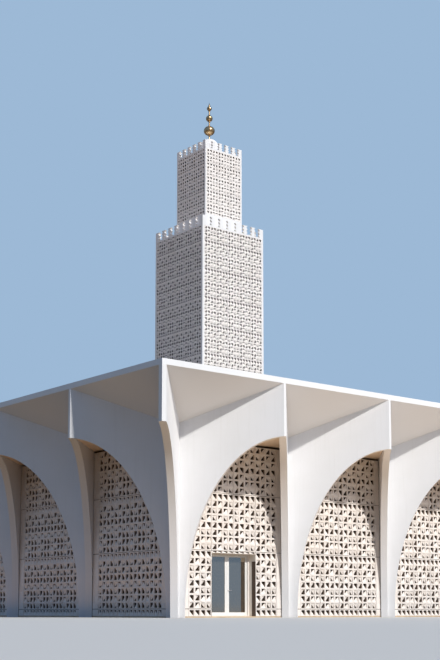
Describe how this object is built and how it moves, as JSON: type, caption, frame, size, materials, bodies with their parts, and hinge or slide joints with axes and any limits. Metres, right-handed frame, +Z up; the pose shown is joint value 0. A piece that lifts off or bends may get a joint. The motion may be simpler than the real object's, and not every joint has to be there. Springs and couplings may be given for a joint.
{
  "type": "mosque building",
  "caption": "Flat-roofed hall inside a folded arcade of tall arches with pierced block screens, a glazed double door, and a square two-stage minaret with toothed merlons.",
  "frame": {"origin": "centre of the hall's floor slab at ground level", "axes": "+X along the entrance front, +Y into the building, +Z up"},
  "size_m": [28.075, 31.9105, 36.98],
  "materials": {
    "white_render": "white paint on smooth concrete",
    "soffit_render": "pale paint on smooth concrete",
    "screen_block": "white painted cast concrete blocks",
    "floor_concrete": "trowelled concrete",
    "roof_felt": "gravelled roofing",
    "door_paint": "white paint",
    "door_glass": "clear, reflecting",
    "handle_steel": "satin",
    "gilt_metal": "gilt, polished"
  },
  "bodies": {
    "building": {"floor_slab": "floor_concrete", "ceiling_slab": "soffit_render", "roof_deck": "roof_felt", "corner_pier_front_left": "white_render", "corner_pier_front_right": "white_render", "corner_pier_back_right": "white_render", "corner_pier_back_left": "white_render", "pier_front_1": "white_render", "pier_front_2": "white_render", "pier_right_1": "white_render", "pier_right_2": "white_render", "pier_back_1": "white_render", "pier_back_2": "white_render", "pier_left_1": "white_render", "pier_left_2": "white_render", "eaves_front": "soffit_render", "eaves_right": "soffit_render", "eaves_back": "soffit_render", "eaves_left": "soffit_render", "screen_front_1_left": "screen_block", "screen_front_1_right": "screen_block", "screen_front_1_over": "screen_block", "screen_front_2": "screen_block", "screen_front_3": "screen_block", "screen_right_1": "screen_block", "screen_right_2": "screen_block", "screen_right_3": "screen_block", "screen_back_1": "screen_block", "screen_back_2": "screen_block", "screen_back_3": "screen_block", "screen_left_1": "screen_block", "screen_left_2": "screen_block", "screen_left_3": "screen_block", "door_frame": "door_paint", "minaret_lower_stage": "screen_block", "minaret_gallery": "white_render", "minaret_upper_stage": "screen_block", "minaret_cap": "white_render", "minaret_finial": "gilt_metal"},
    "leaf_left": {"door_leaf_left": "door_paint", "door_pane_left": "door_glass"},
    "leaf_right": {"door_leaf_right": "door_paint", "door_pane_right": "door_glass", "door_handle_outer": "handle_steel", "door_handle_inner": "handle_steel"}
  },
  "joints": [
    {"name": "left_leaf_hinge", "type": "hinge", "parent": "building", "child": "leaf_left", "pos_m": [-7.3487, -9.405, 1.4], "axis": [0, 0, 1], "range_deg": [0, 90]},
    {"name": "right_leaf_hinge", "type": "hinge", "parent": "building", "child": "leaf_right", "pos_m": [-5.1313, -9.405, 1.4], "axis": [0, 0, -1], "range_deg": [0, 90]}
  ]
}
